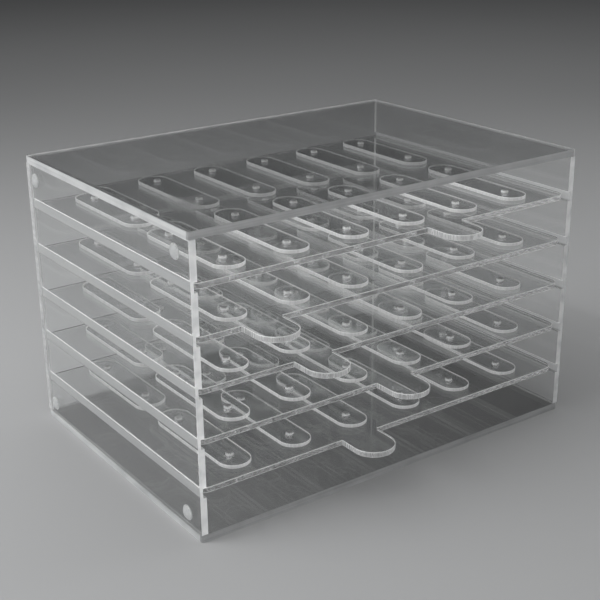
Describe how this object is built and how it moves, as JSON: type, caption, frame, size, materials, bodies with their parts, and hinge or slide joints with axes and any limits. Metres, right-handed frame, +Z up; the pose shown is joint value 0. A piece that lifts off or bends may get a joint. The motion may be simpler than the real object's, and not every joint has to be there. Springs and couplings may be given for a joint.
{
  "type": "tray organiser for display tiles",
  "caption": "Clear open-fronted box with grooved sides and slide-out trays. Each tray has a finger tab and rows of oval tiles that drop over pegs and lift off.",
  "frame": {"origin": "middle of the housing's footprint, on the underside of the bottom panel", "axes": "+X to the right as the open front is faced, +Y from the open front to the back, +Z up"},
  "size_m": [0.2522, 0.197, 0.16],
  "materials": {
    "panel_acrylic": "clear colourless acrylic sheet, polished faces, matt sawn edges and frosted milled grooves",
    "tray_acrylic": "clear colourless acrylic sheet, polished faces and glossy cut edges",
    "tile_acrylic": "clear colourless acrylic sheet, polished faces and bright cut edges",
    "peg_acrylic": "clear acrylic rod, polished",
    "bumper_soft": "clear soft plastic, slightly cloudy, smooth dome"
  },
  "bodies": {
    "housing": {"top_panel": "panel_acrylic", "bottom_panel": "panel_acrylic", "back_panel": "panel_acrylic", "left_side_panel": "panel_acrylic", "right_side_panel": "panel_acrylic", "side_bumpers": "bumper_soft"},
    "tray_1_unit": {"tray_1": "tray_acrylic", "tray_1_pegs": "peg_acrylic"},
    "tray_2_unit": {"tray_2": "tray_acrylic", "tray_2_pegs": "peg_acrylic"},
    "tray_3_unit": {"tray_3": "tray_acrylic", "tray_3_pegs": "peg_acrylic"},
    "tray_4_unit": {"tray_4": "tray_acrylic", "tray_4_pegs": "peg_acrylic"},
    "tray_5_unit": {"tray_5": "tray_acrylic", "tray_5_pegs": "peg_acrylic"},
    "tray_1_front_row": {"tray_1_front_tiles": "tile_acrylic"},
    "tray_1_rear_row": {"tray_1_rear_tiles": "tile_acrylic"},
    "tray_2_front_row": {"tray_2_front_tiles": "tile_acrylic"},
    "tray_2_rear_row": {"tray_2_rear_tiles": "tile_acrylic"},
    "tray_3_front_row": {"tray_3_front_tiles": "tile_acrylic"},
    "tray_3_rear_row": {"tray_3_rear_tiles": "tile_acrylic"},
    "tray_4_front_row": {"tray_4_front_tiles": "tile_acrylic"},
    "tray_4_rear_row": {"tray_4_rear_tiles": "tile_acrylic"},
    "front_tile_1": {"tray_5_front_tile_1": "tile_acrylic"},
    "front_tile_2": {"tray_5_front_tile_2": "tile_acrylic"},
    "front_tile_3": {"tray_5_front_tile_3": "tile_acrylic"},
    "front_tile_4": {"tray_5_front_tile_4": "tile_acrylic"},
    "front_tile_5": {"tray_5_front_tile_5": "tile_acrylic"},
    "front_tile_6": {"tray_5_front_tile_6": "tile_acrylic"},
    "rear_tile_1": {"tray_5_rear_tile_1": "tile_acrylic"},
    "rear_tile_2": {"tray_5_rear_tile_2": "tile_acrylic"},
    "rear_tile_3": {"tray_5_rear_tile_3": "tile_acrylic"},
    "rear_tile_4": {"tray_5_rear_tile_4": "tile_acrylic"},
    "rear_tile_5": {"tray_5_rear_tile_5": "tile_acrylic"},
    "rear_tile_6": {"tray_5_rear_tile_6": "tile_acrylic"}
  },
  "joints": [
    {"name": "tray_1_slide", "type": "slide", "parent": "housing", "child": "tray_1_unit", "axis": [0, -1, 0], "range_m": [0, 0.16]},
    {"name": "tray_2_slide", "type": "slide", "parent": "housing", "child": "tray_2_unit", "axis": [0, -1, 0], "range_m": [0, 0.16]},
    {"name": "tray_3_slide", "type": "slide", "parent": "housing", "child": "tray_3_unit", "axis": [0, -1, 0], "range_m": [0, 0.16]},
    {"name": "tray_4_slide", "type": "slide", "parent": "housing", "child": "tray_4_unit", "axis": [0, -1, 0], "range_m": [0, 0.16]},
    {"name": "tray_5_slide", "type": "slide", "parent": "housing", "child": "tray_5_unit", "axis": [0, -1, 0], "range_m": [0, 0.16]},
    {"name": "tray_1_front_row_lift", "type": "slide", "parent": "tray_1_unit", "child": "tray_1_front_row", "axis": [0, 0, 1], "range_m": [0, 0.012]},
    {"name": "tray_1_rear_row_lift", "type": "slide", "parent": "tray_1_unit", "child": "tray_1_rear_row", "axis": [0, 0, 1], "range_m": [0, 0.012]},
    {"name": "tray_2_front_row_lift", "type": "slide", "parent": "tray_2_unit", "child": "tray_2_front_row", "axis": [0, 0, 1], "range_m": [0, 0.012]},
    {"name": "tray_2_rear_row_lift", "type": "slide", "parent": "tray_2_unit", "child": "tray_2_rear_row", "axis": [0, 0, 1], "range_m": [0, 0.012]},
    {"name": "tray_3_front_row_lift", "type": "slide", "parent": "tray_3_unit", "child": "tray_3_front_row", "axis": [0, 0, 1], "range_m": [0, 0.012]},
    {"name": "tray_3_rear_row_lift", "type": "slide", "parent": "tray_3_unit", "child": "tray_3_rear_row", "axis": [0, 0, 1], "range_m": [0, 0.012]},
    {"name": "tray_4_front_row_lift", "type": "slide", "parent": "tray_4_unit", "child": "tray_4_front_row", "axis": [0, 0, 1], "range_m": [0, 0.012]},
    {"name": "tray_4_rear_row_lift", "type": "slide", "parent": "tray_4_unit", "child": "tray_4_rear_row", "axis": [0, 0, 1], "range_m": [0, 0.012]},
    {"name": "front_tile_1_lift", "type": "slide", "parent": "tray_5_unit", "child": "front_tile_1", "axis": [0, 0, 1], "range_m": [0, 0.012]},
    {"name": "front_tile_2_lift", "type": "slide", "parent": "tray_5_unit", "child": "front_tile_2", "axis": [0, 0, 1], "range_m": [0, 0.012]},
    {"name": "front_tile_3_lift", "type": "slide", "parent": "tray_5_unit", "child": "front_tile_3", "axis": [0, 0, 1], "range_m": [0, 0.012]},
    {"name": "front_tile_4_lift", "type": "slide", "parent": "tray_5_unit", "child": "front_tile_4", "axis": [0, 0, 1], "range_m": [0, 0.012]},
    {"name": "front_tile_5_lift", "type": "slide", "parent": "tray_5_unit", "child": "front_tile_5", "axis": [0, 0, 1], "range_m": [0, 0.012]},
    {"name": "front_tile_6_lift", "type": "slide", "parent": "tray_5_unit", "child": "front_tile_6", "axis": [0, 0, 1], "range_m": [0, 0.012]},
    {"name": "rear_tile_1_lift", "type": "slide", "parent": "tray_5_unit", "child": "rear_tile_1", "axis": [0, 0, 1], "range_m": [0, 0.012]},
    {"name": "rear_tile_2_lift", "type": "slide", "parent": "tray_5_unit", "child": "rear_tile_2", "axis": [0, 0, 1], "range_m": [0, 0.012]},
    {"name": "rear_tile_3_lift", "type": "slide", "parent": "tray_5_unit", "child": "rear_tile_3", "axis": [0, 0, 1], "range_m": [0, 0.012]},
    {"name": "rear_tile_4_lift", "type": "slide", "parent": "tray_5_unit", "child": "rear_tile_4", "axis": [0, 0, 1], "range_m": [0, 0.012]},
    {"name": "rear_tile_5_lift", "type": "slide", "parent": "tray_5_unit", "child": "rear_tile_5", "axis": [0, 0, 1], "range_m": [0, 0.012]},
    {"name": "rear_tile_6_lift", "type": "slide", "parent": "tray_5_unit", "child": "rear_tile_6", "axis": [0, 0, 1], "range_m": [0, 0.012]}
  ]
}
